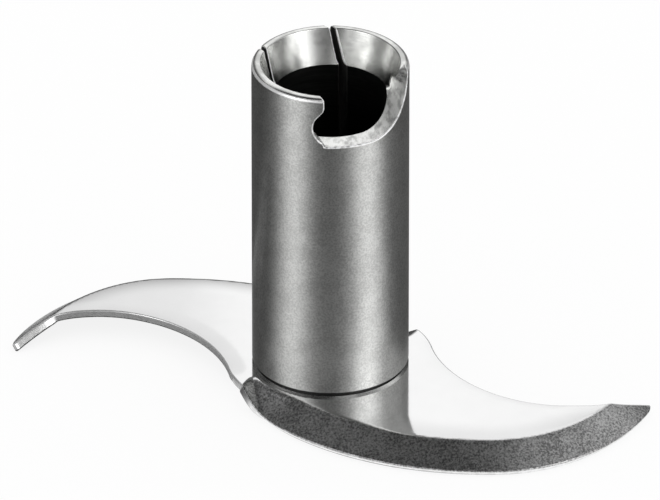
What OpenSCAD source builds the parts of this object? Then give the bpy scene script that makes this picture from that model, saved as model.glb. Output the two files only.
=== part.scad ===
// Knife of a hand blender: a turned hub with a bayonet mouth, riveted through
// an S-shaped sheet blade with bent-down flanks. Z is the hub's axis and z = 0
// is the plane on which the flanks' lower edges rest.

/* [Hub] */
// Diameter of the bore that slides over the drive shaft
bore_d = 12.8; // [11:0.1:14.5]
// Wall of the tube round the bore
wall = 2.6; // [2.2:0.1:3.2]
// Height of the tube above the blade
hub_h = 38.8; // [30:0.2:50]
// Solid foot between the blade and the floor of the bore
foot_h = 8; // [4:0.5:12]
// Width of the rim's end face, its rounded outer edge included
rim_w = 1.05; // [0.8:0.05:1.6]
// Rounding of the rim's outer edge
rim_round_r = 0.6; // [0.2:0.05:0.7]
// Depth of the polished cone that leads into the bore
cone_depth = 3.9; // [2.5:0.1:5]
// Narrow edge break where the cone meets the bore
bore_break = 0.35; // [0.1:0.05:0.6]
// Chamfer round the foot of the tube
foot_chamfer = 0.45; // [0.2:0.05:0.8]

/* [Bayonet mouth] */
// Turn of the mouth's centre plane about the hub's axis
mouth_turn = 20; // [0:5:90]
// Depth of the notch below the rim
notch_depth = 6.1; // [5.5:0.1:8]
// Reach of the notch to its open side, past the wall of the bore
notch_reach = 1.15; // [0.6:0.05:1.3]
// Radius of the long curve that leads the cross pin down into the notch
notch_curve_r = 6.1; // [4.5:0.1:6.2]
// Diameter of the round pocket that holds the cross pin
pocket_d = 4.6; // [3.6:0.1:5]
// Undercut of the pocket behind the tip of the hook
hook_undercut = 1.15; // [0.4:0.05:1.4]
// Distance from the hub's centre plane to the tip of the hook
hook_reach = 3.65; // [3:0.05:4.5]

/* [Spring tongue] */
// Turn of the tongue's middle, past the point opposite the notch
tongue_turn = 13.3; // [0:0.1:20]
// Width of the tongue between the two saw slits
tongue_w = 9.2; // [7:0.1:10.4]
// Width of each saw slit
slit_w = 0.5; // [0.3:0.05:0.8]
// Depth of the slits below the rim
slit_depth = 14; // [10:0.5:20]

/* [Rivet] */
// Diameter of the spigot that passes through the blade
spigot_d = 8; // [6:0.1:10]
// Radial clearance between the spigot and the hole in the blade
spigot_fit = 0.02; // [0.01:0.01:0.1]
// Diameter of the head formed under the blade
head_d = 11; // [10.8:0.1:14]
// Thickness of that head
head_h = 0.9; // [0.6:0.1:1.4]

/* [Blade] */
// Thickness of the sheet
sheet_t = 1; // [0.8:0.1:1.2]
// Diameter of the round middle of the blade
disc_d = 24; // [23.4:0.2:27]
// Distance from the axis to each tip, along the blade
tip_x = 36.9; // [34:0.1:42]
// Distance of each tip from the blade's centre plane
tip_y = 7.4; // [6:0.1:9]
// Width of the blunt end of each tip
tip_w = 0.8; // [0.5:0.1:1.2]
// Place along the blade where the convex edge reaches out furthest
belly_x = 18.3; // [15:0.1:20]
// Furthest reach of the convex edge from the centre plane
belly_y = 21.7; // [19:0.1:24]
// Place along the blade of the lowest point of the hollow edge
hollow_x = 26.8; // [25:0.1:30]
// Distance of that point from the centre plane
hollow_y = 10.8; // [9:0.1:12]

/* [Flank] */
// Width of the bent-down flank, square to the convex edge
flank_w = 4.2; // [3.5:0.1:5.5]
// Angle of the flank below the flat of the blade
flank_angle = 32.5; // [20:0.5:38]
// Outer radius of the bend
bend_r = 1; // [0.8:0.1:1.8]
// Flat land between the hub's foot and the bend
seat_land = 0.4; // [0.2:0.1:0.8]

/* [Hidden] */
$fn = 96;
steel = "lightsteelblue";
polished = "gainsboro";
over = 1;
hub_r = bore_d / 2 + wall;
mouth_r = hub_r - rim_w;
disc_r = disc_d / 2;
// Drop and run of the rounded part of the bend
bend_run = bend_r * sin(flank_angle);
bend_fall = bend_r * (1 - cos(flank_angle));
// Height of the blade's flat face over the plane on which the flanks rest
seat_z = drop(flank_w) + sheet_t * cos(flank_angle);

// Angles on the round middle at which the hollow and the convex edge leave it
hollow_leave = 12;
convex_leave = 32;
// Angle on the round middle at which the bend begins, and the bend line's slope
heel_angle = 31;
heel_slope = 60;
heel = -disc_r * [cos(heel_angle), sin(heel_angle)];
// Direction of the convex and the hollow edge as they reach the tip
tip_rise = 69;
tip_back_rise = 38;
// Handles of the edge curves, as shares of the chord of each stretch
handle = [[0.5, 0.21], [0.38, 0.35], [0.43, 0.3], [0.43, 0.51]];

// Softness of the valleys where two bend lines meet
blend = 0.5;
// Most that the front flank may take of a cross-section, and the back flank of the rest
front_share = 0.75;
back_share = 0.6;
// Height of the rivet head's rim line, as a share of the head's thickness
head_rim_share = 0.7;
// Steps along each stretch of the edges and across each zone of the sheet
steps = 9;
seat_steps = 12;
heel_steps = 7;
arc_steps = 4;
flank_steps = 4;
bend_steps = 4;
flat_steps = 3;

function polar(r, a) = r * [cos(a), sin(a)];
function share(i, n) = i / n;

// Cubic curve between two points, each with its direction and handle share
function arc_point(p, a, q, b, h, t) =
    let (chord = norm(q - p))
    let (p1 = p + polar(h[0] * chord, a), q1 = q - polar(h[1] * chord, b))
    pow(1 - t, 3) * p + 3 * pow(1 - t, 2) * t * p1 + 3 * (1 - t) * t * t * q1 + pow(t, 3) * q;

function curve(p, a, q, b, h, n) = [for (i = [0:n]) arc_point(p, a, q, b, h, share(i, n))];

// The convex edge of the right wing, from its heel on the round middle to the tip
belly = [belly_x, -belly_y];
tip_front = [tip_x, -tip_y];
edge_start = polar(disc_r, 180 + convex_leave);
convex_steps = 3 * steps;
convex_edge = concat(
    [for (i = [0:arc_steps - 1])
        polar(disc_r, 180 + hollow_leave + (convex_leave - hollow_leave) * share(i, arc_steps))],
    curve(edge_start, convex_leave - 90, belly, 0, handle[0], convex_steps),
    [for (i = [1:convex_steps])
        arc_point(belly, 0, tip_front, tip_rise, handle[1], share(i, convex_steps))]);

// The hollow edge of the right wing, from the round middle to the tip
hollow = [hollow_x, -hollow_y];
tip_back = [tip_x, -tip_y + tip_w];
hollow_edge = concat(
    curve(polar(disc_r, hollow_leave), hollow_leave - 90, hollow, 0, handle[2], steps),
    [for (i = [1:steps])
        arc_point(hollow, 0, tip_back, tip_back_rise, handle[3], share(i, steps))]);

// Front and back outline of the whole blade, as a height over x
function front_y(x) = x < convex_edge[0].x ? -lookup(-x, hollow_edge) : lookup(x, convex_edge);
function back_y(x) = -front_y(-x);

// Drop of the sheet's top at a distance past the line where the bend begins
function drop(d) =
    d <= 0 ? 0 :
    d < bend_run ? bend_r - sqrt(bend_r * bend_r - d * d) :
    bend_fall + (d - bend_run) * tan(flank_angle);

function segment_distance(p, a, b) =
    let (ab = b - a, t = max(0, min(1, (p - a) * ab / (ab * ab))))
    norm(p - a - t * ab);

function edge_distance(p) =
    min([for (i = [1:len(convex_edge) - 2]) segment_distance(p, convex_edge[i], convex_edge[i + 1])]);

// Distance of a point past the bend line of the right wing. The line keeps flank_w from
// the convex edge, clears the hub's seat and starts at the heel. Beside the seat the
// flank is steeper, so that it is as low at the rim of the round middle as elsewhere
function past_bend(p) =
    let (from_edge = flank_w - edge_distance(p))
    let (from_seat = (norm(p) - hub_r - seat_land) * flank_w / (disc_r - hub_r - seat_land))
    let (from_heel = (p - heel) * [sin(heel_slope), -cos(heel_slope)])
    -blend * ln(exp(-from_edge / blend) + exp(-from_seat / blend) + exp(-from_heel / blend));

function top_z(p) = -drop(past_bend(p)) - drop(past_bend(-p));

// Upward unit normal of the sheet's top
function normal(p) =
    let (h = 0.02)
    let (gx = (top_z(p + [h, 0]) - top_z(p - [h, 0])) / (2 * h))
    let (gy = (top_z(p + [0, h]) - top_z(p - [0, h])) / (2 * h))
    [-gx, -gy, 1] / norm([gx, gy, 1]);

// Height y at which the bend at the heel and the one beside the hub's seat begin
function bend_y(x) =
    let (seat = hub_r + seat_land)
    min(
        x < 0 ? heel.y + (x - heel.x) * tan(heel_slope) : 0,
        abs(x) < seat ? -sqrt(seat * seat - x * x) : 0);

// Stretch of a cross-section at x that the front flank takes
function flank_span(x) =
    let (y = front_y(x), h = 0.2)
    let (slope = (front_y(x + h) - front_y(x - h)) / (2 * h))
    min(flank_w * norm([1, slope]), max(bend_y(x) - y, sheet_t), (back_y(x) - y) * front_share);

// Heights y at which a cross-section is sampled: flank, bend, flat, and the same behind
flank_shares = concat(
    [for (i = [0:flank_steps - 1]) share(i, flank_steps) * (1 - bend_run / flank_w)],
    [for (i = [0:bend_steps]) 1 - share(bend_steps - i, bend_steps) * bend_run / flank_w]);

function levels(x) =
    let (y0 = front_y(x), y1 = back_y(x))
    let (w0 = flank_span(x))
    let (w1 = min(x < disc_r ? flank_span(-x) : flank_w, (y1 - y0 - w0) * back_share))
    concat(
        [for (s = flank_shares) y0 + s * w0],
        [for (i = [1:flat_steps - 1]) let (s = share(i, flat_steps)) (1 - s) * (y0 + w0) + s * (y1 - w1)],
        [for (i = [len(flank_shares) - 1:-1:0]) y1 - flank_shares[i] * w1]);

// Stations along the right half of the blade, closer together at the heel
heel_end = -edge_start.x;
heel_begin = hub_r - seat_land;
stations = concat(
    [for (i = [0:seat_steps - 1]) heel_begin * share(i, seat_steps)],
    [for (i = [0:heel_steps - 1]) heel_begin + (heel_end - heel_begin) * share(i, heel_steps)],
    [for (i = [0:arc_steps - 1])
        disc_r * cos(convex_leave + (hollow_leave - convex_leave) * share(i, arc_steps))],
    [for (p = hollow_edge) p.x]);

function station_top(x) = [for (y = levels(x)) [x, y, top_z([x, y])]];
// The two outermost normals of a cross-section are those of the points next to them
function station_normals(x) =
    let (ys = levels(x), last = len(ys) - 1)
    [for (j = [0:last]) normal([x, ys[max(1, min(last - 1, j))]])];
function half_turn(rows) =
    [for (i = [len(rows) - 1:-1:1])
        [for (j = [len(rows[i]) - 1:-1:0]) [-rows[i][j].x, -rows[i][j].y, rows[i][j].z]]];

half_top = [for (x = stations) station_top(x)];
half_normals = [for (x = stations) station_normals(x)];
top_rows = concat(half_turn(half_top), half_top);
normal_rows = concat(half_turn(half_normals), half_normals);

function flat_list(rows) = [for (row = rows) each row];

// Closed sheet of a grid of top points and normals
module sheet(rows, normals, thickness) {
    m = len(rows);
    n = len(rows[0]);
    top = flat_list(rows);
    under = [for (i = [0:m * n - 1]) top[i] - thickness * flat_list(normals)[i]];
    s = m * n;
    corner = [0, n, n + 1, 1];
    quads = [for (i = [0:m - 2]) for (j = [0:n - 2]) [for (k = corner) i * n + j + k]];
    ring = concat(
        [for (i = [0:m - 1]) i * n],
        [for (j = [1:n - 1]) (m - 1) * n + j],
        [for (i = [m - 2:-1:0]) i * n + n - 1],
        [for (j = [n - 2:-1:1]) j]);
    faces = concat(
        [for (q = quads) each [[q[2], q[1], q[0]], [q[3], q[2], q[0]]]],
        [for (q = quads) each [[q[0] + s, q[1] + s, q[2] + s], [q[0] + s, q[2] + s, q[3] + s]]],
        [for (i = [0:len(ring) - 1])
            let (a = ring[i], b = ring[(i + 1) % len(ring)])
            each [[a, b, b + s], [a, b + s, a + s]]]);
    polyhedron(points = concat(top, under), faces = faces);
}

// The S-shaped blade with its hole for the hub's spigot
module blade() {
    color(polished)
        translate([0, 0, seat_z])
            difference() {
                sheet(top_rows, normal_rows, sheet_t);
                translate([0, 0, -sheet_t - over])
                    cylinder(h = sheet_t + 2 * over, d = spigot_d + 2 * spigot_fit);
            }
}

// Half section of the tube's outside, with its rounded rim and chamfered foot
module tube_section() {
    translate([0, foot_chamfer])
        square([hub_r, hub_h - foot_chamfer - rim_round_r]);
    polygon([[0, 0], [hub_r - foot_chamfer, 0], [hub_r, foot_chamfer], [0, foot_chamfer]]);
    square([hub_r - rim_round_r, hub_h]);
    translate([hub_r - rim_round_r, hub_h - rim_round_r])
        circle(rim_round_r);
}

// Half section of the hollow: bore, edge break and lead-in cone
module bore_section() {
    bore_r = bore_d / 2;
    cone_z = hub_h - cone_depth;
    polygon([
        [0, foot_h],
        [bore_r, foot_h],
        [bore_r, cone_z],
        [bore_r + bore_break, cone_z + bore_break],
        [mouth_r, hub_h],
        [mouth_r, hub_h + over],
        [0, hub_h + over]]);
}

// Half section of the spigot and the head formed under the blade
module rivet_section() {
    head_r = head_d / 2;
    translate([0, -sheet_t])
        square([spigot_d / 2, sheet_t + foot_chamfer]);
    translate([0, -sheet_t - head_h])
        polygon([
            [0, 0],
            [head_r - head_h, 0],
            [head_r, head_h * head_rim_share],
            [head_r, head_h],
            [0, head_h]]);
}

// Outline of the notch seen square to the hub: lead-in curve, floor and pocket
module notch_outline() {
    pocket_r = pocket_d / 2;
    side = bore_d / 2 + notch_reach;
    curve_x = side - notch_curve_r;
    curve_y = notch_curve_r - notch_depth;
    pocket_x = pocket_r - hook_reach - hook_undercut;
    translate([-hook_reach, -notch_depth])
        square([hook_reach + curve_x, notch_depth + over]);
    translate([curve_x, curve_y])
        square([notch_curve_r, over - curve_y]);
    translate([curve_x, curve_y])
        intersection() {
            circle(notch_curve_r);
            translate([0, -notch_curve_r])
                square(2 * notch_curve_r);
        }
    translate([pocket_x, pocket_r - notch_depth])
        circle(pocket_r);
}

module notch() {
    translate([0, 0, hub_h])
        rotate([90, 0, 0])
            linear_extrude(height = hub_r + over)
                notch_outline();
}

// One of the two parallel saw slits that free the spring tongue
module slit(side) {
    translate([side * tongue_w / 2 - slit_w / 2, 0, hub_h - slit_depth])
        cube([slit_w, hub_r + over, slit_depth + over]);
}

// The turned hub, riveted through the blade
module hub() {
    color(steel)
        translate([0, 0, seat_z])
            difference() {
                rotate_extrude() {
                    tube_section();
                    rivet_section();
                }
                rotate_extrude()
                    bore_section();
                rotate([0, 0, mouth_turn])
                    notch();
                rotate([0, 0, mouth_turn + tongue_turn]) {
                    slit(1);
                    slit(-1);
                }
            }
}

hub();
blade();
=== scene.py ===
import math

import bpy
import numpy as np
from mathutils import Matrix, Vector
from mathutils.geometry import delaunay_2d_cdt


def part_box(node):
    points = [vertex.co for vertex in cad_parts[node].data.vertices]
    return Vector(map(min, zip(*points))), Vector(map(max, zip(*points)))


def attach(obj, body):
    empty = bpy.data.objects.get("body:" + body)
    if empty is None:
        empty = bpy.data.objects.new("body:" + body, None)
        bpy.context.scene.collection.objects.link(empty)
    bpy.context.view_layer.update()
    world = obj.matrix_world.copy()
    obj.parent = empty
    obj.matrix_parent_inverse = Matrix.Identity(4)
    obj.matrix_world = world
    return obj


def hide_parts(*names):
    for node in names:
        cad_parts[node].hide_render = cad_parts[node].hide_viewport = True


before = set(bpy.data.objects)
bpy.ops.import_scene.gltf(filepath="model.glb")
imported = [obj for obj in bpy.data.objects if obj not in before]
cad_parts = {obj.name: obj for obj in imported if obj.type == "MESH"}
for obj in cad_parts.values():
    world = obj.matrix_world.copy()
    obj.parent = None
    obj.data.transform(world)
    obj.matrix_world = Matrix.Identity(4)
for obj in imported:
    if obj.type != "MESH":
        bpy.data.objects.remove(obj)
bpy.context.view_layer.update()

MM = 0.001

# Hub, in millimetres: the sizes of the turned piece
BORE_R = 6.4
HUB_R = 9.0
HUB_H = 38.8
FOOT_H = 8.0
MOUTH_R = 7.95
RIM_ROUND_R = 0.6
CONE_DEPTH = 3.9
BORE_BREAK = 0.35
FOOT_CHAMFER = 0.45
MOUTH_TURN = math.radians(20)
TONGUE_TURN = math.radians(33.3)
NOTCH_DEPTH = 6.1
NOTCH_SIDE = 7.55
NOTCH_CURVE_R = 6.1
POCKET_R = 2.3
HOOK_REACH = 3.65
HOOK_UNDERCUT = 1.15
TONGUE_W = 9.2
SLIT_W = 0.5
SLIT_DEPTH = 14.0
SPIGOT_R = 4.0
HEAD_R = 5.5
HEAD_H = 0.9
HEAD_BEVEL_W, HEAD_BEVEL_H = 0.9, 0.63

# Blade, in millimetres. The bend starts a little later than the solid's and the flank is steeper,
# so that its lower edge stays where the solid has it
SHEET_T = 1.0
DISC_R = 12.0
TIP = (36.9, -7.4)
TIP_W = 0.8
TIP_HANDLES = (0.75, 0.75)
BELLY = (18.3, -21.7)
HOLLOW = (26.8, -10.8)
FLANK_W = 3.65
FLANK_ANGLE = math.radians(37.4)
BEND_R = 1.0
SEAT_LAND = 0.55
HOLLOW_LEAVE = 12
CONVEX_LEAVE = 32
HEEL_ANGLE = 31
HEEL_SLOPE = math.radians(60)
TIP_RISE = 69
TIP_BACK_RISE = 38
HANDLES = ((0.5, 0.21), (0.38, 0.35), (0.43, 0.3), (0.43, 0.51))
BLEND = 0.5
HOLE_CLEARANCE = 0.02
# Pressing has drawn the flat beside the bend down over a width, to a slope. This roll grows between
# two places along the wing, and between two distances from the hub's axis
ROLL_W = 3.6
ROLL_SLOPE = math.tan(math.radians(6))
ROLL_FROM, ROLL_FULL = 3.0, 9.0
ROLL_CLEAR, ROLL_CLEAR_FULL = 9.3, 11.5
# The die has drawn the sheet down beside its hollow side as well
DIE_ROLL_W = 2.4
DIE_ROLL_SLOPE = math.tan(math.radians(4))

# Height of the blade's flat face, where the hub sits, in millimetres
SEAT_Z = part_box("blade")[1].z / MM


def polar(radius, angle):
    """Point at an angle in degrees."""
    a = np.radians(angle)
    return np.stack([radius * np.cos(a), radius * np.sin(a)], -1)


def unit(vectors):
    return vectors / np.maximum(np.linalg.norm(vectors, axis=-1, keepdims=True), 1e-12)


def smooth_step(value, low, high):
    """0 at low, 1 at high and smooth between."""
    s = np.clip((value - low) / (high - low), 0, 1)
    return s * s * (3 - 2 * s)


def closed(loop):
    """A loop with its first point again at the end."""
    return np.vstack([loop, loop[:1]])


def curve(p, leave, q, arrive, handles, count):
    """Cubic curve from p to q, with a direction and a handle share at each end."""
    p, q = np.array(p, float), np.array(q, float)
    chord = np.linalg.norm(q - p)
    p1 = p + polar(handles[0] * chord, leave)
    q1 = q - polar(handles[1] * chord, arrive)
    t = np.linspace(0, 1, count + 1)[:, None]
    return (1 - t) ** 3 * p + 3 * (1 - t) ** 2 * t * p1 + 3 * (1 - t) * t * t * q1 + t ** 3 * q


def inside(points, polygon):
    """Which points lie inside a polygon."""
    x, y = points[:, 0], points[:, 1]
    found = np.zeros(len(points), bool)
    for (x0, y0), (x1, y1) in zip(polygon, np.roll(polygon, -1, axis=0)):
        if y0 != y1:
            crosses = (y0 > y) != (y1 > y)
            found ^= crosses & (x < (x1 - x0) * (y - y0) / (y1 - y0) + x0)
    return found


def distance_to_line(points, line):
    """Distance of each point to an open polyline."""
    best = np.full(len(points), np.inf)
    for a, b in zip(line[:-1], line[1:]):
        ab = b - a
        t = np.clip(((points - a) @ ab) / max(ab @ ab, 1e-12), 0, 1)
        best = np.minimum(best, np.linalg.norm(points - a - t[:, None] * ab, axis=1))
    return best


def resample(line, spacing):
    """The same polyline with points at an even spacing."""
    steps = np.linalg.norm(np.diff(line, axis=0), axis=1)
    along = np.concatenate([[0], np.cumsum(steps)])
    count = max(2, int(round(along[-1] / spacing)) + 1)
    at = np.linspace(0, along[-1], count)
    return np.stack([np.interp(at, along, line[:, 0]), np.interp(at, along, line[:, 1])], -1)


def triangulate(points, loops):
    """Triangles over the points, with each closed loop of point numbers kept as edges."""
    edges = [(loop[i], loop[(i + 1) % len(loop)]) for loop in loops for i in range(len(loop))]
    result = delaunay_2d_cdt([Vector(p) for p in points], edges, [], 0, 1e-7)
    return np.array([tuple(spot) for spot in result[0]]), np.array(result[2], int)


# Corners nearer to each other than this, in millimetres, become one point
WELD = 2e-4
# Every so many points of a line are enough where it need not be exact
COARSE = 4


class Mesh:
    """Collects faces with a normal at each corner, in millimetres, and makes one closed piece."""

    def __init__(self):
        self.corners = []
        self.normals = []
        self.sizes = []
        self.slots = []

    def add(self, points, normals, slot):
        """One face, with its corner points, their normals and its material's number."""
        self.corners.extend(points)
        self.normals.extend(normals)
        self.sizes.append(len(points))
        self.slots.append(slot)

    def add_triangles(self, points, normals, faces, slot):
        for face in faces:
            self.add([points[i] for i in face], [normals[i] for i in face], slot)

    def add_strip(self, row, row_normals, after, after_normals, slot, closed=False):
        """Quads between two rows of points, in one material or in one for each quad."""
        count = len(row)
        slots = np.broadcast_to(slot, count)
        for i in range(count if closed else count - 1):
            k = (i + 1) % count
            self.add([row[i], row[k], after[k], after[i]],
                     [row_normals[i], row_normals[k], after_normals[k], after_normals[i]], int(slots[i]))

    def build(self, name, materials, body):
        """Joins the corners into one mesh and lets it ride on a body of the frame."""
        corners = np.array(self.corners)
        keys = np.round(corners / WELD).astype(np.int64)
        _, first, number = np.unique(keys, axis=0, return_index=True, return_inverse=True)
        number = number.reshape(-1)
        points = corners[first] * MM
        normals = unit(np.array(self.normals))
        faces, kept, slots = [], [], []
        start = 0
        for size, slot in zip(self.sizes, self.slots):
            ring = number[start:start + size]
            places = [i for i in range(size) if ring[i] != ring[i - 1]]
            if len(places) > 2:
                faces.append([int(ring[i]) for i in places])
                kept.extend(start + i for i in places)
                slots.append(slot)
            start += size
        mesh = bpy.data.meshes.new(name)
        mesh.from_pydata([tuple(p) for p in points], [], faces)
        for material in materials:
            mesh.materials.append(material)
        mesh.polygons.foreach_set("material_index", slots)
        mesh.polygons.foreach_set("use_smooth", [True] * len(faces))
        mesh.normals_split_custom_set([tuple(n) for n in normals[kept]])
        mesh.validate()
        piece = bpy.data.objects.new(name, mesh)
        bpy.context.scene.collection.objects.link(piece)
        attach(piece, body)
        return piece


# Shader tools

class Value:
    """A shader socket. Arithmetic on it adds Math nodes."""

    def __init__(self, finish, socket):
        self.finish = finish
        self.socket = socket

    def __add__(self, other):
        return self.finish.math("ADD", self, other)

    def __radd__(self, other):
        return self.finish.math("ADD", other, self)

    def __sub__(self, other):
        return self.finish.math("SUBTRACT", self, other)

    def __rsub__(self, other):
        return self.finish.math("SUBTRACT", other, self)

    def __mul__(self, other):
        return self.finish.math("MULTIPLY", self, other)

    def __rmul__(self, other):
        return self.finish.math("MULTIPLY", other, self)

    def __truediv__(self, other):
        return self.finish.math("DIVIDE", self, other)

    def __rtruediv__(self, other):
        return self.finish.math("DIVIDE", other, self)


class Finish:
    """The nodes of one material or of the world."""

    def __init__(self, owner):
        self.owner = owner
        owner.use_nodes = True
        self.tree = owner.node_tree
        self.tree.nodes.clear()

    def node(self, kind, settings=None, inputs=None, output=0):
        """Adds a node. Its settings come first, then the values or links of its sockets."""
        node = self.tree.nodes.new("ShaderNode" + kind)
        for name, value in (settings or {}).items():
            setattr(node, name, value)
        for name, value in (inputs or {}).items():
            socket = node.inputs[name]
            if isinstance(value, Value):
                self.tree.links.new(value.socket, socket)
            else:
                socket.default_value = value
        return Value(self, node.outputs[output] if node.outputs else None)

    def math(self, operation, *values):
        return self.node("Math", {"operation": operation}, dict(enumerate(values)))

    def ramp(self, value, low, high):
        """0 at low, 1 at high and smooth between."""
        return self.node("MapRange", {"interpolation_type": "SMOOTHSTEP"},
                         {"Value": value, "From Min": low, "From Max": high})

    def place(self, stretch=(1, 1, 1)):
        """Position on the object in millimetres, stretched along its axes."""
        spot = self.node("TexCoord", output="Object")
        return self.node("Mapping", {"vector_type": "POINT"},
                         {"Vector": spot, "Scale": [s / MM for s in stretch]})

    def noise(self, size, detail=2.0, roughness=0.5, stretch=(1, 1, 1)):
        """Noise about 0.5 with features of a size in millimetres."""
        return self.node("TexNoise", {"noise_dimensions": "3D"},
                         {"Vector": self.place(stretch), "Scale": 1 / size, "Detail": detail,
                          "Roughness": roughness})

    def between(self, factor, a, b):
        """Colour a where the factor is 0, and b where it is 1. Sockets 6 and 7 hold the colours."""
        return self.node("Mix", {"data_type": "RGBA"}, {"Factor": factor, 6: a, 7: b}, output=2)

    def bump(self, height, depth):
        """Normal of a relief with a depth in millimetres."""
        return self.node("Bump", None, {"Height": height, "Distance": depth * MM})

    def shine(self, inputs):
        """Principled surface with these sockets, and the material's output."""
        surface = self.node("BsdfPrincipled", None, inputs)
        self.node("OutputMaterial", {"target": "ALL"}, {"Surface": surface})
        return self.owner


def grey(level, tint=(1.0, 1.0, 1.0)):
    return tuple(level * c for c in tint) + (1.0,)


STEEL_TINT = (1.0, 1.005, 0.985)


def satin_steel():
    """Turned and tumbled wall of the hub: fine mottling, with the turning marks under it."""
    f = Finish(bpy.data.materials.new("satin_steel"))
    mottle = f.noise(0.22, 3.0, 0.6)
    cloud = f.noise(2.4, 2.0)
    tone = f.ramp(mottle * 0.75 + cloud * 0.25, 0.36, 0.64)
    turning = f.noise(0.1, 2.0, 0.5, (0.05, 0.05, 1.0))
    return f.shine({
        "Base Color": f.between(tone, grey(0.49, STEEL_TINT), grey(0.71, STEEL_TINT)),
        "Metallic": 1.0,
        "Roughness": 0.36 + mottle * 0.1,
        "Anisotropic": 0.88,
        "Anisotropic Rotation": 0.25,
        "Normal": f.bump(mottle * 0.6 + turning * 0.4, 0.006)})


def polished_cone():
    """Lead-in cone and rim, turned bright with faint rings."""
    f = Finish(bpy.data.materials.new("polished_cone"))
    rings = f.noise(0.16, 2.0, 0.5, (0.04, 0.04, 1.0))
    cloud = f.noise(1.3, 3.0)
    stain = f.noise(3.0, 2.0, 0.5)
    return f.shine({
        "Base Color": f.between(f.ramp(stain * 0.7 + cloud * 0.3, 0.36, 0.6), grey(0.58, STEEL_TINT),
                                grey(0.88, STEEL_TINT)),
        "Metallic": 1.0,
        "Roughness": 0.16 + cloud * 0.12,
        "Normal": f.bump(rings * 0.5 + cloud * 0.5, 0.012)})


def bore_painted_shade():
    """Bore wall: dull and grooved by the drill, with painted shade: its colour is made nearly black for the
    shade down in the bore.
    """
    f = Finish(bpy.data.materials.new("bore_painted_shade"))
    grooves = f.noise(0.25, 2.0, 0.5, (0.06, 0.06, 1.0))
    return f.shine({
        "Base Color": f.between(grooves, grey(0.015, STEEL_TINT), grey(0.05, STEEL_TINT)),
        "Metallic": 1.0,
        "Roughness": 0.42 + grooves * 0.15,
        "Normal": f.bump(grooves, 0.02)})


def machined_cut():
    """Milled faces of the notch: bright, with streaks and smears from the cutter."""
    f = Finish(bpy.data.materials.new("machined_cut"))
    smear = f.noise(0.9, 3.0, 0.6, (1.0, 0.5, 1.0))
    marks = f.noise(0.25, 2.0, 0.5, (1.0, 0.3, 1.0))
    return f.shine({
        "Base Color": f.between(f.ramp(smear * 0.8 + marks * 0.2, 0.36, 0.58), grey(0.5, STEEL_TINT),
                                grey(0.97, STEEL_TINT)),
        "Metallic": 0.7,
        "Roughness": 0.14 + smear * 0.16,
        "Normal": f.bump(smear * 0.8 + marks * 0.2, 0.05)})


def corner_painted_glint():
    """Broken corners, matt, with a painted highlight: their colour is nearly white, for a thin bright line
    along each corner.
    """
    f = Finish(bpy.data.materials.new("corner_painted_glint"))
    nicks = f.noise(0.4, 3.0, 0.6)
    return f.shine({
        "Base Color": f.between(f.ramp(nicks, 0.3, 0.6), grey(0.7), grey(0.98)),
        "Metallic": f.ramp(nicks, 0.55, 0.35) * 0.6 + 0.3,
        "Roughness": 0.3 + nicks * 0.2,
        "Normal": f.bump(nicks, 0.02)})


def rim_painted_highlight():
    """Outer half of the rim's rounding, with a painted highlight: its colour is nearly white, for a soft
    white gleam.
    """
    f = Finish(bpy.data.materials.new("rim_painted_highlight"))
    rings = f.noise(0.2, 2.0, 0.5, (0.05, 0.05, 1.0))
    cloud = f.noise(1.5, 2.0)
    return f.shine({
        "Base Color": f.between(f.ramp(cloud, 0.3, 0.6), grey(0.86), grey(0.98)),
        "Metallic": 0.62,
        "Roughness": 0.2 + cloud * 0.1,
        "Normal": f.bump(rings, 0.004)})


def slit_painted_shade():
    """Faces of the saw slits, dull, with painted shade: their colour is made dark for the shade down in the
    narrow slits.
    """
    f = Finish(bpy.data.materials.new("slit_painted_shade"))
    marks = f.noise(0.3, 2.0, 0.5, (1.0, 1.0, 0.4))
    return f.shine({
        "Base Color": f.between(marks, grey(0.1, STEEL_TINT), grey(0.2, STEEL_TINT)),
        "Metallic": 1.0,
        "Roughness": 0.4 + marks * 0.15,
        "Normal": f.bump(marks, 0.02)})


def polished_sheet_shaded_flank():
    """Blade's faces: mirror-bright flat, and a grainy satin where the sheet is bent down, with painted
    shade there: its colour is darker the further the face turns from facing up or down.
    """
    f = Finish(bpy.data.materials.new("polished_sheet_shaded_flank"))
    facing = f.node("TexCoord", output="Normal")
    level = f.node("SeparateXYZ", None, {"Vector": facing}, output="Z")
    grain = f.noise(0.24, 2.5, 0.7)
    cloud = f.noise(3.0, 2.0)
    slope = f.math("ABSOLUTE", level) + (grain - 0.5) * 0.05
    flank = 1 - f.ramp(slope, 0.92, 0.996)
    flat_tone = f.between(f.ramp(cloud, 0.2, 0.8), grey(0.855), grey(0.875))
    # Painted shade: the bent faces' colour is darkened, with the grain in it
    flank_painted_shade = f.between(f.ramp(grain * 0.8 + cloud * 0.2, 0.36, 0.64), grey(0.2), grey(0.66))
    return f.shine({
        "Base Color": f.between(flank, flat_tone, flank_painted_shade),
        "Metallic": 1.0,
        "Roughness": 0.07 + flank * (0.2 + grain * 0.14),
        "Normal": f.bump(grain * flank, 0.02)})


def sheared_edge():
    """Edge of the sheet, sheared and lightly brushed."""
    f = Finish(bpy.data.materials.new("sheared_edge"))
    brush = f.noise(0.8, 3.0, 0.6, (1.0, 1.0, 0.25))
    return f.shine({
        "Base Color": f.between(f.ramp(brush, 0.3, 0.7), grey(0.72), grey(0.88)),
        "Metallic": 0.66 + brush * 0.1,
        "Roughness": 0.18 + brush * 0.1,
        "Normal": f.bump(brush, 0.003)})


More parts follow.
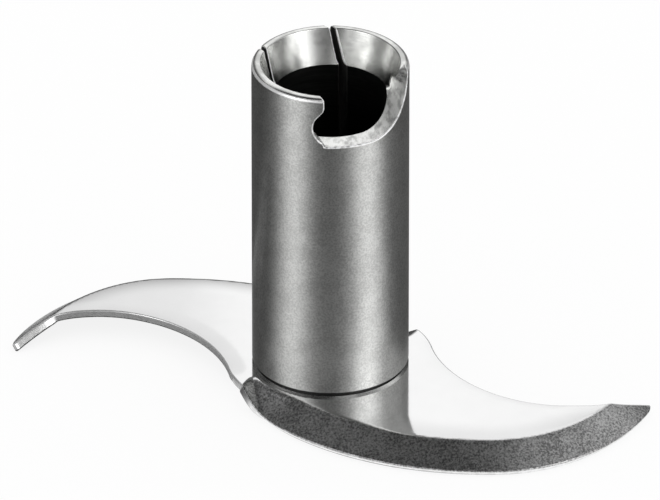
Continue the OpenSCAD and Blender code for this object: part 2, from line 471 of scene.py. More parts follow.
def honed_edge():
    """Cutting edge of the sheet, ground bright."""
    f = Finish(bpy.data.materials.new("honed_edge"))
    brush = f.noise(0.8, 3.0, 0.6)
    return f.shine({
        "Base Color": f.between(f.ramp(brush, 0.3, 0.7), grey(0.66), grey(0.88)),
        "Metallic": 1.0,
        "Roughness": 0.1 + brush * 0.1,
        "Normal": f.bump(brush, 0.003)})


# Blade

SHEET, EDGE, HONED = 0, 1, 2
# Rounding of the sheet's edge and the rows of points over each corner, then the outline's spacing
EDGE_ROUND = 0.2
EDGE_STEPS = 5
OUTLINE_SPACING = 0.22
# Points at each side's end that the rounding of the tip replaces
TIP_TRIM = 4
# The flank follows the convex side from this point on, which is on the heel's arc
FLANK_START = 8
# Points inside the outline: a second row beside the rounded edge, then a grid
SECOND_ROW = 0.16
GRID_STEP = 0.34
CLEAR_OF_EDGE, CLEAR_OF_HOLE = 0.14, 0.25
HOLE_SIDES = 64

heel_arc = polar(DISC_R, 180 + np.linspace(HOLLOW_LEAVE, CONVEX_LEAVE, 25))
convex_side = np.vstack([
    heel_arc[:-1],
    curve(heel_arc[-1], CONVEX_LEAVE - 90, BELLY, 0, HANDLES[0], 80)[:-1],
    curve(BELLY, 0, TIP, TIP_RISE, HANDLES[1], 80)])
tip_back = (TIP[0], TIP[1] + TIP_W)
hollow_side = np.vstack([
    curve(polar(DISC_R, HOLLOW_LEAVE), HOLLOW_LEAVE - 90, HOLLOW, 0, HANDLES[2], 60)[:-1],
    curve(HOLLOW, 0, tip_back, TIP_BACK_RISE, HANDLES[3], 60)])
heel = -polar(DISC_R, HEEL_ANGLE)


def drop(d, share):
    """Fall of the sheet's top at a distance past the bend line, with a share of the roll.

    The roll makes the bend start later, so that the flank stays where it is."""
    slope = share * ROLL_SLOPE
    roll_fall = ROLL_W * slope / 2
    late = roll_fall / math.tan(FLANK_ANGLE)
    start = np.arctan(slope)
    run = BEND_R * (math.sin(FLANK_ANGLE) - np.sin(start))
    fall = BEND_R * (np.cos(start) - math.cos(FLANK_ANGLE))
    d = np.asarray(d) - late
    roll = np.clip((d + ROLL_W) / ROLL_W, 0, 1) ** 2 * roll_fall
    turned = np.clip(d, 0, run) / BEND_R + np.sin(start)
    bend = BEND_R * (np.cos(start) - np.sqrt(1 - turned ** 2))
    flank = fall + (d - run) * math.tan(FLANK_ANGLE)
    return np.where(d < 0, roll, roll_fall + np.where(d < run, bend, flank))


def roll_share(p):
    """How far the roll is there: not by the hub and the heel, and fully along the wing."""
    along_wing = smooth_step(p[:, 0], ROLL_FROM, ROLL_FULL)
    return along_wing * smooth_step(np.linalg.norm(p, axis=1), ROLL_CLEAR, ROLL_CLEAR_FULL)


def die_roll(p):
    """Slight fall of the sheet towards the sheared hollow side of the right wing."""
    near = np.clip(1 - distance_to_line(p, hollow_side[::COARSE]) / DIE_ROLL_W, 0, 1)
    return near ** 2 * DIE_ROLL_W * DIE_ROLL_SLOPE / 2


def past_bend(p):
    """Distance of each point past the bend line of the right wing."""
    from_edge = FLANK_W - distance_to_line(p, convex_side[FLANK_START:])
    steep = FLANK_W / (DISC_R - HUB_R - SEAT_LAND)
    from_seat = (np.linalg.norm(p, axis=1) - HUB_R - SEAT_LAND) * steep
    from_heel = (p - heel) @ np.array([math.sin(HEEL_SLOPE), -math.cos(HEEL_SLOPE)])
    near = np.minimum(np.minimum(from_edge, from_seat), from_heel)
    spread = sum(np.exp((near - part) / BLEND) for part in (from_edge, from_seat, from_heel))
    return near - BLEND * np.log(spread)


def wing_fall(p):
    """Fall of the sheet's top on the right wing."""
    return drop(past_bend(p), roll_share(p)) + die_roll(p)


def sheet_top(p):
    """Height of the sheet's top above the seat. The left wing is the right one after half a turn."""
    return -wing_fall(p) - wing_fall(-p)


def sheet_normal(p, step=0.04):
    along_x = (sheet_top(p + [step, 0]) - sheet_top(p - [step, 0])) / (2 * step)
    along_y = (sheet_top(p + [0, step]) - sheet_top(p - [0, step])) / (2 * step)
    return unit(np.stack([-along_x, -along_y, np.ones(len(p))], -1))


def sheet_outline():
    """Plan outline of the whole blade, anticlockwise, with rounded tips."""
    tip_round = curve(convex_side[-TIP_TRIM], TIP_RISE, hollow_side[-TIP_TRIM], TIP_BACK_RISE + 180,
                      TIP_HANDLES, 12)
    wing = np.vstack([convex_side[:-TIP_TRIM], tip_round, hollow_side[:-TIP_TRIM][::-1]])
    wing = resample(wing, OUTLINE_SPACING)[:-1]
    return np.vstack([wing, -wing])


def inset(line, distance):
    """A closed anticlockwise line moved inwards."""
    along = unit(np.roll(line, -1, axis=0) - np.roll(line, 1, axis=0))
    return line + distance * np.stack([-along[:, 1], along[:, 0]], -1)


def to_tip(outline):
    """Number of points along the convex side, from the heel to the right tip."""
    return np.argmax(outline[:len(outline) // 2, 0])


def sheet_grid(outline, second):
    """Points inside the second row and clear of the hole, closer together where the sheet is bent."""
    low, high = outline.min(0), outline.max(0)
    xs, ys = np.meshgrid(*(np.arange(low[axis], high[axis], GRID_STEP) for axis in (0, 1)))
    xs[1::2] += GRID_STEP / 2
    grid = np.stack([xs.ravel(), ys.ravel()], -1)
    grid = grid[inside(grid, second)]
    grid = grid[distance_to_line(grid, closed(second)) > CLEAR_OF_EDGE]
    grid = grid[np.linalg.norm(grid, axis=1) > SPIGOT_R + CLEAR_OF_HOLE]
    every_other = np.round((grid[:, 0] - low[0]) / GRID_STEP).astype(int) % 2 == 0
    bent = np.maximum(past_bend(grid), past_bend(-grid)) > -ROLL_W
    return grid[bent | every_other]


def add_edge(mesh, outline, rim, n):
    """Rounded edge of the sheet from the top face, whose rim and normals are given, to the underside."""
    out = unit(outline - rim[:, :2])
    rise = -(n[:, 0] * out[:, 0] + n[:, 1] * out[:, 1]) / n[:, 2]
    out = unit(np.column_stack([out, rise]))
    quarter = np.radians(np.linspace(0, 90, EDGE_STEPS))
    rows = [(EDGE_ROUND, n * math.cos(a) + out * math.sin(a)) for a in quarter]
    rows += [(SHEET_T - EDGE_ROUND, out * math.cos(a) - n * math.sin(a)) for a in quarter]
    rows = [(rim - depth * n + EDGE_ROUND * turned, turned) for depth, turned in rows]

    # The flank's finish, with its painted shade, runs on over the upper corner of the cutting edge, and the
    # lower corner has it all round, which paints a dark line of shade along the sheet's lower edge
    heel_count = DISC_R * math.radians(CONVEX_LEAVE - HOLLOW_LEAVE) / OUTLINE_SPACING
    along_wing = np.arange(len(rim)) % (len(rim) // 2)
    cutting = (along_wing > heel_count) & (along_wing < to_tip(outline))
    upper, face = np.where(cutting, SHEET, EDGE), np.where(cutting, HONED, EDGE)
    strips = [upper] * 3 + [face] * 2 + [SHEET] * 4
    for (row, normals), (after, after_normals), slots in zip(rows[:-1], rows[1:], strips):
        mesh.add_strip(after, after_normals, row, normals, slots, closed=True)


def make_blade():
    outline = sheet_outline()
    ring = inset(outline, EDGE_ROUND)
    second = inset(outline, EDGE_ROUND + SECOND_ROW)
    hole = polar(SPIGOT_R + HOLE_CLEARANCE, np.arange(HOLE_SIDES) * 360 / HOLE_SIDES)
    count = len(ring)
    hole_rows = range(2 * count, 2 * count + HOLE_SIDES)
    points = np.vstack([ring, second, hole, sheet_grid(outline, second)])
    spots, faces = triangulate(points, [range(count), hole_rows])
    middle = spots[faces].mean(1)
    faces = faces[inside(middle, ring) & ~inside(middle, hole)]
    normals = sheet_normal(spots)
    top = np.column_stack([spots, sheet_top(spots) + SEAT_Z])
    under = top - SHEET_T * normals
    mesh = Mesh()
    mesh.add_triangles(top, normals, faces, SHEET)
    mesh.add_triangles(under, -normals, faces[:, ::-1], SHEET)
    add_edge(mesh, outline, top[:count], normals[:count])
    inward = np.column_stack([-unit(hole), np.zeros(HOLE_SIDES)])
    mesh.add_strip(top[hole_rows], inward, under[hole_rows], inward, EDGE, closed=True)
    return mesh.build("knife", [polished_sheet_shaded_flank(), sheared_edge(), honed_edge()], "root")


# Hub

WALL, BRIGHT, BORE, CUT, SLIT_SHADE, CORNER_GLINT, RIM_HIGHLIGHT = 0, 1, 2, 3, 4, 5, 6
# Angles between which the rim's rounding has a painted highlight
BAND_START, BAND_END = 16, 50
# Points round the hub, and faces across a cut from the wall to the bore
TURNS = 192
CUT_COLUMNS = 6
# Broken corners of the notch and of the slits
CUT_ROUND = 0.2
SAW_ROUND = 0.13
# The notch's open side runs out along the cone. Inside the wall it reaches these shares of the
# cone's radius, at the rim and at a depth
SIDE_SHARES = (0.85, 0.98)
SIDE_DEPTH = 2.6
# Straight side of the hook, and the degrees by which the pocket's arc starts late and ends early
HOOK_SIDE_H = 0.9
HOOK_NOSE, POCKET_END = 22, 4
# Rounding from the rim's face into the cone
LIP = 0.12
# Groove at the foot, between the hub and the blade, darkened with the bore's painted shade
SEAM_H = 0.16
SEAM_DEPTH = 0.35
TOP = HUB_H
CONE_Z = HUB_H - CONE_DEPTH
# The mouth, which is cut, is meshed above this height, and the plain turned rest below it
SPLIT_Z = HUB_H - SLIT_DEPTH - 1.0
# The mouth's surface is unrolled at this radius to be cut, with points this far from the cuts
UNROLL_R = 8.0
CLEAR_OF_CUT = 0.07
# Number of the rim's flat face in mouth_profile's list
FACE = 4
# Lengths and places that differ by less than these are the same
NEAR = 1e-9
SAME_SPOT = 1e-6


def outer_radius(z):
    """Radius of the wall and its rounded rim at a height."""
    over = np.clip(z - (TOP - RIM_ROUND_R), 0, RIM_ROUND_R)
    return HUB_R - RIM_ROUND_R + np.sqrt(np.maximum(RIM_ROUND_R ** 2 - over ** 2, 0))


def inner_radius(z):
    """Radius of the bore, its edge break and the cone at a height."""
    return np.interp(z, [FOOT_H, CONE_Z, CONE_Z + BORE_BREAK, TOP],
                     [BORE_R, BORE_R, BORE_R + BORE_BREAK, MOUTH_R])


def side_limit(z):
    """How far the notch's open side reaches at a height, inside the wall."""
    return np.interp(TOP - z, (0, SIDE_DEPTH), SIDE_SHARES) * inner_radius(z)


def rim_rounding(start, end):
    """Part of the rim's rounding, between two angles in degrees."""
    return [(HUB_R - RIM_ROUND_R * (1 - math.cos(a)), TOP - RIM_ROUND_R * (1 - math.sin(a)),
             math.cos(a), math.sin(a)) for a in np.radians(np.linspace(start, end, 5))]


def mouth_profile():
    """Half section from the wall at SPLIT_Z over the rim and down to the same height in the bore.

    Each stretch is a list of (radius, height, normal's radius part, normal's height part) and a
    material."""
    wall = [(HUB_R, z, 1, 0) for z in np.linspace(SPLIT_Z, TOP - RIM_ROUND_R, 40)]
    face = [(r, TOP, 0, 1) for r in np.linspace(HUB_R - RIM_ROUND_R, MOUTH_R + LIP, 3)]
    slope = unit(np.array([-(TOP - CONE_Z - BORE_BREAK), MOUTH_R - BORE_R - BORE_BREAK]))
    lip_r, lip_z = inner_radius(TOP - LIP), TOP - LIP
    lip = [((1 - s) * (MOUTH_R + LIP) + s * lip_r, (1 - s * s) * TOP + s * s * lip_z,
            s * slope[0], 1 - s + s * slope[1]) for s in (0, 0.35, 0.7, 1)]
    cone = [(inner_radius(z), z, slope[0], slope[1]) for z in np.linspace(lip_z, CONE_Z + BORE_BREAK, 13)]
    broken = [(inner_radius(CONE_Z + BORE_BREAK * s), CONE_Z + BORE_BREAK * s, slope[0], slope[1])
              for s in (1, 0.66, 0.33, 0)]
    bore = [(BORE_R, z, -1, 0) for z in np.linspace(CONE_Z, SPLIT_Z, 30)]
    return [(wall, WALL), (rim_rounding(0, BAND_START), WALL), (rim_rounding(BAND_START, BAND_END), RIM_HIGHLIGHT),
            (rim_rounding(BAND_END, 90), BRIGHT), (face, BRIGHT), (lip, BRIGHT), (cone, BRIGHT),
            (broken, BRIGHT), (bore, BORE)]


def notch_line():
    """The notch's outline as (x, height), from the tip of the hook to the open side."""
    pocket = np.array([POCKET_R - HOOK_REACH - HOOK_UNDERCUT, TOP + POCKET_R - NOTCH_DEPTH])
    lead = np.array([NOTCH_SIDE - NOTCH_CURVE_R, TOP + NOTCH_CURVE_R - NOTCH_DEPTH])
    hook = math.degrees(math.acos((-HOOK_REACH - pocket[0]) / POCKET_R))
    side = np.array([[-HOOK_REACH, z] for z in np.linspace(TOP, TOP - HOOK_SIDE_H, 8)])
    pocket_arc = pocket + polar(POCKET_R, np.linspace(hook + HOOK_NOSE, 360 - hook - POCKET_END, 40))
    under = curve(side[-1], 270, pocket_arc[0], hook + HOOK_NOSE + 90, (0.5, 0.5), 12)
    floor = np.array([[x, TOP - NOTCH_DEPTH] for x in np.linspace(-HOOK_REACH, lead[0], 26)])
    lead_arc = lead + polar(NOTCH_CURVE_R, np.linspace(-90, 0, 60))
    return np.vstack([side[:-1], under[:-1], pocket_arc, floor[:-1], lead_arc])


def slit_line(side):
    """Outline of one saw slit, walked so that the gap is on the left."""
    a, b = side * TONGUE_W / 2 - SLIT_W / 2, side * TONGUE_W / 2 + SLIT_W / 2
    low = TOP - SLIT_DEPTH
    down = [[a, z] for z in np.linspace(TOP, low, 48)]
    across = [[x, low] for x in np.linspace(a, b, 4)]
    up = [[b, z] for z in np.linspace(low, TOP, 48)]
    return np.array(down[:-1] + across[:-1] + up)


def turned_point(u, r, z):
    """Point at an angle u about the axis from the middle of the notch."""
    a = u + MOUTH_TURN
    return np.stack([r * np.sin(a), -r * np.cos(a), z + SEAT_Z + 0 * r], -1)


def turned_direction(u, outward, up):
    """Direction at an angle u, from its parts away from the axis and along it."""
    a = u + MOUTH_TURN
    return np.stack([outward * np.sin(a), -outward * np.cos(a), up + 0 * a], -1)


def swung(x, y, z, turn):
    """Point or normal given across axes that are turned about the hub's axis."""
    c, s = math.cos(turn), math.sin(turn)
    return np.stack([x * c - y * s, x * s + y * c, z], -1)


class Profile:
    """The mouth's half section, with u as the angle about the axis and v as the length along it."""

    def __init__(self):
        self.stretches = mouth_profile()
        self.starts, rows, length = [], [], 0.0
        previous = None
        for stretch, _ in self.stretches:
            self.starts.append(length)
            for r, z, _, _ in stretch:
                if previous is not None:
                    length += math.hypot(r - previous[0], z - previous[1])
                rows.append((length, r, z))
                previous = (r, z)
        self.starts.append(length)
        self.length = length
        rows = np.array(rows)
        self.rows = rows[np.concatenate([[True], np.diff(rows[:, 0]) > NEAR])]
        self.top_v, self.mouth_v = self.starts[FACE], self.starts[FACE + 1]

    def at(self, v):
        """Radius and height at each v."""
        return [np.interp(v, self.rows[:, 0], self.rows[:, column]) for column in (1, 2)]

    def along(self, z, outer):
        """The v of each height, on the wall's side or on the bore's."""
        if outer:
            part = self.rows[self.rows[:, 0] <= self.top_v + NEAR]
        else:
            part = self.rows[self.rows[:, 0] >= self.mouth_v - NEAR][::-1]
        return np.interp(z, part[:, 2], part[:, 0])

    def point(self, u, v):
        return turned_point(u, *self.at(v))

    def stretch_normal(self, i, u, v):
        """Normal of one stretch's surface."""
        stretch, _ = self.stretches[i]
        steps = [math.hypot(b[0] - a[0], b[1] - a[1]) for a, b in zip(stretch[:-1], stretch[1:])]
        lengths = np.concatenate([[0], np.cumsum(steps)]) + self.starts[i]
        return turned_direction(u, *(np.interp(v, lengths, [s[part] for s in stretch]) for part in (2, 3)))

    def normal(self, u, v, outer):
        """Normal beside a cut, on the wall's side or on the bore's."""
        found = np.zeros((len(u), 3))
        for i in range(FACE) if outer else range(FACE + 1, len(self.stretches)):
            here = (v >= self.starts[i] - NEAR) & (v <= self.starts[i + 1] + NEAR)
            found[here] = self.stretch_normal(i, u[here], v[here])
        return found


def add_cut(mesh, profile, line, side, turn, cut_round, slot):
    """Adds the faces of one cut through the front (side -1) or the back (side 1) of the mouth.

    Returns the loop that it leaves open in the unrolled surface."""
    steps = unit(np.gradient(line, axis=0))
    into = np.stack([steps[:, 1], -steps[:, 0]], -1)
    trim = line + cut_round * into
    trim[:, 1] = np.minimum(trim[:, 1], TOP)
    trim[0, 1] = trim[-1, 1] = TOP
    face_z = np.minimum(line[:, 1], TOP - cut_round)

    def bearing(x, radius):
        u = np.arcsin(x / radius)
        if side > 0:
            u = np.where(u > 0, math.pi - u, -math.pi - u)
        return u + turn - MOUTH_TURN

    def chain(outer):
        """Where the cut's rounded corner meets the turned surface."""
        v = profile.along(trim[:, 1], outer)
        v[0] = v[-1] = profile.top_v if outer else profile.mouth_v
        x = trim[:, 0] if outer else np.minimum(trim[:, 0], side_limit(trim[:, 1]) + cut_round / 2)
        return bearing(x, profile.at(v)[0]), v

    def depth(x, radius):
        return side * np.sqrt(np.maximum(radius ** 2 - x ** 2, 0))

    def strip(a, na, b, nb, strip_slot):
        if side > 0:
            a, na, b, nb = b, nb, a, na
        mesh.add_strip(a, na, b, nb, strip_slot)

    # Face of the cut, from the wall inwards
    outer_x, inner_x = line[:, 0], np.minimum(line[:, 0], side_limit(face_z))
    outer_y = depth(outer_x, outer_radius(face_z)) - side * cut_round
    inner_y = depth(inner_x, inner_radius(face_z)) + side * cut_round
    normal = swung(-into[:, 0], 0 * into[:, 0], -into[:, 1], turn)
    grid = []
    for k in range(CUT_COLUMNS + 1):
        x = outer_x + (inner_x - outer_x) * k / CUT_COLUMNS
        y = outer_y + (inner_y - outer_y) * k / CUT_COLUMNS
        grid.append(swung(x, y, face_z + SEAT_Z, turn))
    for k in range(CUT_COLUMNS):
        strip(grid[k], normal, grid[k + 1], normal, slot)

    # Broken corners along the wall and along the bore. The wall's corner has the painted highlight.
    (uo, vo), (ui, vi) = chain(True), chain(False)
    inner_trim, inner_normal = profile.point(ui, vi), profile.normal(ui, vi, False)
    strip(profile.point(uo, vo), profile.normal(uo, vo, True), grid[0], normal, CORNER_GLINT)
    if slot == CUT:
        strip(grid[-1], normal, inner_trim, inner_normal, BRIGHT)
    else:
        # The slit's corner on the bore's side has the painted highlight up in the cone, and the slit's
        # painted shade lower down
        in_cone = int(np.argmax(line[:, 1] < CONE_Z))
        for part, finish in ((slice(0, in_cone), CORNER_GLINT), (slice(in_cone - 1, 1 - in_cone), SLIT_SHADE),
                             (slice(-in_cone, None), CORNER_GLINT)):
            strip(grid[-1][part], normal[part], inner_trim[part], inner_normal[part], finish)

    # Corners across the rim, at the two ends of the line
    crossings = []
    for end in (0, -1):
        v = np.linspace(profile.top_v, profile.mouth_v, CUT_COLUMNS + 1)
        u = np.linspace(uo[end], ui[end], CUT_COLUMNS + 1)
        crossings.append((u[1:-1], v[1:-1]))
        row = profile.point(u, v)
        face_row = np.array([column[end] for column in grid])
        up = np.tile([0.0, 0.0, 1.0], (CUT_COLUMNS + 1, 1))
        side_normal = np.tile(normal[end], (CUT_COLUMNS + 1, 1))
        if end == 0:
            strip(face_row, side_normal, row, up, CUT)
        else:
            strip(row, up, face_row, side_normal, CUT)
    (left_u, left_v), (right_u, right_v) = crossings
    u = np.concatenate([uo, right_u, ui[::-1], left_u[::-1]])
    v = np.concatenate([vo, right_v, vi[::-1], left_v[::-1]])
    return np.stack([u * UNROLL_R, v], -1)


def add_mouth(mesh, profile, loops):
    """Turned surface of the mouth, open at the loops of the cuts."""
    angles = np.linspace(-math.pi, math.pi, TURNS + 1)
    across, along = np.meshgrid(angles * UNROLL_R, profile.rows[:, 0])
    grid = np.stack([across.ravel(), along.ravel()], -1)
    border = np.abs(np.abs(grid[:, 0]) - math.pi * UNROLL_R) < SAME_SPOT
    border |= (grid[:, 1] < SAME_SPOT) | (grid[:, 1] > profile.length - SAME_SPOT)
    clear = np.ones(len(grid), bool)
    for loop in loops:
        clear &= ~inside(grid, loop)
        clear &= distance_to_line(grid, closed(loop)) > CLEAR_OF_CUT
    grid = grid[clear | border]
    numbers, start = [], len(grid)
    for loop in loops:
        numbers.append(range(start, start + len(loop)))
        start += len(loop)
    spots, faces = triangulate(np.vstack([grid] + loops), numbers)
    middle = spots[faces].mean(1)
    kept = np.ones(len(faces), bool)
    for loop in loops:
        kept &= ~inside(middle, loop)
    faces, middle = faces[kept], middle[kept]
    u, v = spots[:, 0] / UNROLL_R, spots[:, 1]
    places = profile.point(u, v)
    for i, (_, slot) in enumerate(profile.stretches):
        chosen = faces[(middle[:, 1] >= profile.starts[i]) & (middle[:, 1] < profile.starts[i + 1])]
        mesh.add_triangles(places, profile.stretch_normal(i, u, v), chosen, slot)


def add_turned(mesh, corners, slots):
    """Turned surface through corners given as (radius, height), with a material for each stretch."""
    ring = np.linspace(-math.pi, math.pi, TURNS + 1)[:-1]
    for (r0, z0), (r1, z1), slot in zip(corners[:-1], corners[1:], slots):
        along_r, along_z = unit(np.array([r1 - r0, z1 - z0]))
        normal = turned_direction(ring, along_z, -along_r)
        low, high = turned_point(ring, r0 + 0 * ring, z0), turned_point(ring, r1 + 0 * ring, z1)
        mesh.add_strip(low, normal, high, normal, slot, closed=True)


def make_hub():
    mesh = Mesh()
    profile = Profile()
    add_mouth(mesh, profile, [
        add_cut(mesh, profile, notch_line(), -1, MOUTH_TURN, CUT_ROUND, CUT),
        add_cut(mesh, profile, slit_line(1), 1, TONGUE_TURN, SAW_ROUND, SLIT_SHADE),
        add_cut(mesh, profile, slit_line(-1), 1, TONGUE_TURN, SAW_ROUND, SLIT_SHADE)])
    head_low, seam_r = -SHEET_T - HEAD_H, HUB_R - SEAM_DEPTH
    # The seam's groove takes the bore's painted shade, so that it shows as a dark line
    add_turned(mesh, [
        (0.0, head_low), (HEAD_R - HEAD_BEVEL_W, head_low), (HEAD_R, head_low + HEAD_BEVEL_H),
        (HEAD_R, -SHEET_T), (SPIGOT_R, -SHEET_T), (SPIGOT_R, 0.0), (seam_r, 0.0), (seam_r, SEAM_H),
        (HUB_R - FOOT_CHAMFER + SEAM_H, SEAM_H), (HUB_R, FOOT_CHAMFER), (HUB_R, SPLIT_Z)],
        [CUT] * 6 + [BORE, BORE, BRIGHT, WALL])
    add_turned(mesh, [(BORE_R, SPLIT_Z), (BORE_R, FOOT_H), (0.0, FOOT_H)], [BORE, BORE])
    finishes = [satin_steel(), polished_cone(), bore_painted_shade(), machined_cut(), slit_painted_shade(), corner_painted_glint(),
                rim_painted_highlight()]
    return mesh.build("turned_hub", finishes, "root")


knife = make_blade()
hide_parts("blade")
turned_hub = make_hub()
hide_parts("hub")


# Studio

VIEW_ELEVATION = math.radians(29.8)
VIEW_DISTANCE = 1.67
PHOTO_SCALE = 0.1145
FRAME_WIDTH = 660
AXIS_X, FLAT_Y = 330.4, 357.3
MIDDLE = (330.0, 250.0)


def add_camera():
    """Camera at the photograph's angle, aimed so that the hub's axis falls at its place in the frame."""
    data = bpy.data.cameras.new("camera")
    data.sensor_width = 36.0
    data.lens = data.sensor_width / (FRAME_WIDTH * PHOTO_SCALE) * VIEW_DISTANCE / MM
    camera = bpy.data.objects.new("camera", data)
    bpy.context.scene.collection.objects.link(camera)
    height = SEAT_Z + (FLAT_Y - MIDDLE[1]) * PHOTO_SCALE / math.cos(VIEW_ELEVATION)
    target = Vector(((MIDDLE[0] - AXIS_X) * PHOTO_SCALE * MM, 0, height * MM))
    back = Vector((0, -math.cos(VIEW_ELEVATION), math.sin(VIEW_ELEVATION)))
    camera.location = target + back * VIEW_DISTANCE
    camera.rotation_euler = (-back).to_track_quat("-Z", "Y").to_euler()
    data.clip_start = 0.1
    data.clip_end = 20
    bpy.context.scene.camera = camera


def circle(radius, sides, height):
    """Points of a circle round the hub's axis, in metres, from the camera's side on."""
    return [(radius * math.sin(a), -radius * math.cos(a), height)
            for a in np.radians(np.arange(sides) * 360 / sides)]


def stage_mesh(name, points, faces, material):
    mesh = bpy.data.meshes.new(name)
    mesh.from_pydata(points, [], faces)
    mesh.materials.append(material)
    thing = bpy.data.objects.new(name, mesh)
    bpy.context.scene.collection.objects.link(thing)
    return thing


FLOOR_R = 4.0
FLOOR_SIDES = 72
# Share of the floor's colour that glows by itself, for rays from the camera or off the steel
FLOOR_GLOW = 0.86


def floor_material():
    """Pale floor: near white as it is seen, and matt, so that it keeps the object's shadow."""
    f = Finish(bpy.data.materials.new("pale_floor"))
    rays = f.node("LightPath", output="Is Camera Ray") + f.node("LightPath", output="Is Glossy Ray")
    plain = f.node("BsdfDiffuse", None, {"Color": grey(0.98)})
    glow = f.node("Emission", None, {"Color": grey(1.0), "Strength": 1.0})
    mixed = f.node("MixShader", None, {0: rays * FLOOR_GLOW, 1: plain, 2: glow})
    f.node("OutputMaterial", None, {"Surface": mixed})
    return f.owner


def glow_material(name, make_level, strength):
    """Glowing surface whose level, 0 to 1 of its strength, comes from its place round the object."""
    f = Finish(bpy.data.materials.new(name))
    place = f.node("TexCoord", output="Object")
    level = make_level(f, *(f.node("SeparateXYZ", None, {"Vector": place}, output=axis) for axis in "XYZ"))
    return f.shine({
        "Base Color": grey(0.0),
        "Specular IOR Level": 0.0,
        "Roughness": 1.0,
        "Emission Color": f.between(level, grey(0.0), grey(1.0)),
        "Emission Strength": strength})


# Soft boxes are painted on the ring: one in front to the left, one in front to the right and a faint
# wide one between them. Each has a bearing, a width and a level; the bearing is 0 towards the camera
# and grows to the right. Their level grows between each two heights by a gain
LOBES = ((-52, 21.5, 0.84), (53, 21.5, 1.02), (0, 40, 0.04))
WALL_GAINS = ((0.0, 0.03, 0.6), (0.12, 0.3, 1.7))
SURROUND_R = 0.5
SURROUND_H = 0.42
SURROUND_LEVEL = 0.08
SURROUND_STRENGTH = 3.9
# Behind the object hangs a white sheet. Upwards it fades in between the first two heights, and loses
# a share of its level between the last two. To the left it loses more: between two distances, a share
BACK_WIDTH = 25
BACK_LOW, BACK_HIGH = (0.04, 0.27), (0.3, 0.43)
BACK_LEVEL = 0.99
BACK_TOP_FADE = 0.12
LEFT_FADES = ((0.014, 0.024, 0.16), (0.12, 0.25, 0.7))
# To the right the upper part of the ring is lit by a window: its bearing, width and level
WINDOW = (106, 34, 0.85)
WINDOW_LOW, WINDOW_HIGH = 0.12, 0.3


def lobe(f, bearing, middle, width):
    """1 at the middle bearing, and less to both sides of it; middle and width in degrees."""
    off = (bearing - math.radians(middle)) / math.radians(width)
    return f.math("EXPONENT", 0 - off * off)


def surround_level(f, x, y, z):
    """Level of the ring and of the table in it: the soft boxes, the sheet behind and the window."""
    bearing = f.math("ARCTAN2", x, 0 - y)
    gain = 1.0
    for start, end, rise in WALL_GAINS:
        gain = f.ramp(z, start, end) * rise + gain
    total = SURROUND_LEVEL
    for middle, width, height in LOBES:
        total = lobe(f, bearing, middle, width) * height * gain + total
    level = f.ramp(z, *BACK_LOW) * (1 - f.ramp(z, *BACK_HIGH) * BACK_TOP_FADE) * BACK_LEVEL
    for start, end, loss in LEFT_FADES:
        level = level * (1 - f.ramp(0 - x, start, end) * loss)
    sheet = lobe(f, f.math("ABSOLUTE", bearing), 180, BACK_WIDTH) * level
    middle, width, height = WINDOW
    window = lobe(f, bearing, middle, width) * f.ramp(z, WINDOW_LOW, WINDOW_HIGH) * height
    return (total + sheet + window) / SURROUND_STRENGTH


# The card overhead is dark above the object and lighter towards the right, the left and the back:
# where each side's light begins, where it is full, and its level
OVERHEAD_H = 0.6
OVERHEAD_LEVEL = 0.04
OVERHEAD_RIGHT = (-0.05, 0.3, 0.37)
OVERHEAD_LEFT = (-0.15, -0.5, 0.08)
OVERHEAD_BACK = (0.15, 0.6, 0.9)
OVERHEAD_CORNERS = ((-1.0, -0.8), (0.85, 0.98))


def overhead_level(f, x, y, z):
    """Level of the card overhead."""
    to_right, to_left, to_back = (
        f.ramp(way, begins, full) * level
        for way, (begins, full, level) in ((x, OVERHEAD_RIGHT), (x, OVERHEAD_LEFT), (y, OVERHEAD_BACK)))
    return f.math("MAXIMUM", to_right + to_left, to_back) + OVERHEAD_LEVEL


# White paper on the table, close under the right wing's cutting edge and round the back of the
# left wing: the margin that it stands out by, and where it ends
FRONT_MARGIN, FRONT_Y = 2.0, -0.001
BACK_MARGIN, BACK_X, BACK_Y = 4.0, -0.016, 0.006


def paper_level(f, x, y, z):
    """The same white all over."""
    return 1.0


def hide_from_camera(card):
    """Leaves a card visible in reflections only, so that it lights nothing else."""
    card.visible_camera = False
    card.visible_diffuse = False
    card.visible_shadow = False


RING_SIDES = 96
TABLE_LIFT, PAPER_LIFT = 0.0002, 0.0003


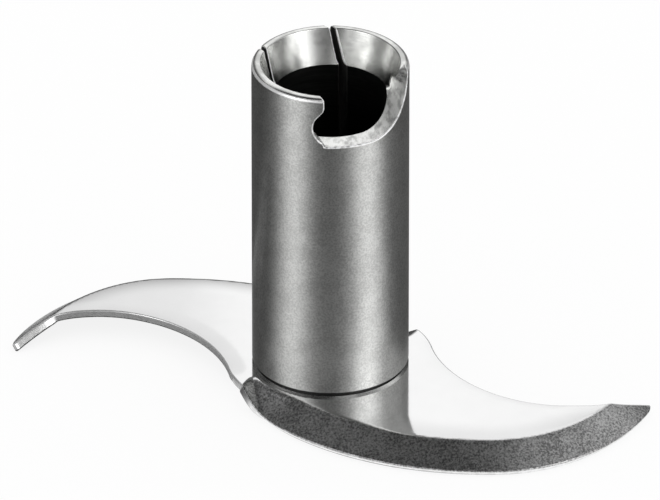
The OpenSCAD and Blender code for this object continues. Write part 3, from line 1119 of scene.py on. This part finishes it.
def add_cards():
    """Cards that the steel mirrors: a ring round the object, the table in it, white paper close
    under the blade, and one card overhead."""
    low, high = (circle(SURROUND_R, RING_SIDES, z) for z in (0.0, SURROUND_H))
    walls = []
    for i in range(RING_SIDES):
        k = (i + 1) % RING_SIDES
        walls.append((i, k, RING_SIDES + k, RING_SIDES + i))
    soft_box = glow_material("soft_box", surround_level, SURROUND_STRENGTH)
    hide_from_camera(stage_mesh("surround", low + high, walls, soft_box))
    table = circle(SURROUND_R, RING_SIDES, TABLE_LIFT)
    hide_from_camera(stage_mesh("table", table, [tuple(range(RING_SIDES))], soft_box))

    paper = glow_material("paper", paper_level, 1.0)
    outline = sheet_outline()
    half = len(outline) // 2
    front = inset(outline, -FRONT_MARGIN)[::COARSE] * MM
    back = inset(outline, -BACK_MARGIN)[half:half + to_tip(outline)][::COARSE] * MM
    for name, edge in (("front_paper", front[front[:, 1] < FRONT_Y]),
                       ("back_paper", back[(back[:, 0] < BACK_X) & (back[:, 1] > BACK_Y)])):
        points = [(x, y, PAPER_LIFT) for x, y in edge]
        hide_from_camera(stage_mesh(name, points, [tuple(range(len(points)))], paper))

    (x0, y0), (x1, y1) = OVERHEAD_CORNERS
    points = [(x, y, OVERHEAD_H) for x, y in ((x0, y0), (x1, y0), (x1, y1), (x0, y1))]
    overhead = glow_material("overhead_card", overhead_level, 1.0)
    hide_from_camera(stage_mesh("overhead_card", points, [(0, 1, 2, 3)], overhead))


# Strength of the world that lights the object. It is seen, and mirrored, as pure white
WORLD_LEVEL = 0.98


def add_world():
    world = bpy.data.worlds.new("studio")
    bpy.context.scene.world = world
    f = Finish(world)
    seen = (f.node("LightPath", output="Is Camera Ray") + f.node("LightPath", output="Is Glossy Ray")
            + f.node("LightPath", output="Is Transmission Ray"))
    strength = WORLD_LEVEL + f.math("MINIMUM", seen, 1.0) * (1 - WORLD_LEVEL)
    sky = f.node("Background", None, {"Color": grey(1.0), "Strength": strength})
    f.node("OutputWorld", None, {"Surface": sky})


add_camera()
add_world()
stage_mesh("floor", circle(FLOOR_R, FLOOR_SIDES, 0.0), [tuple(range(FLOOR_SIDES))], floor_material())
add_cards()

scene = bpy.context.scene
scene.view_settings.view_transform = "Standard"
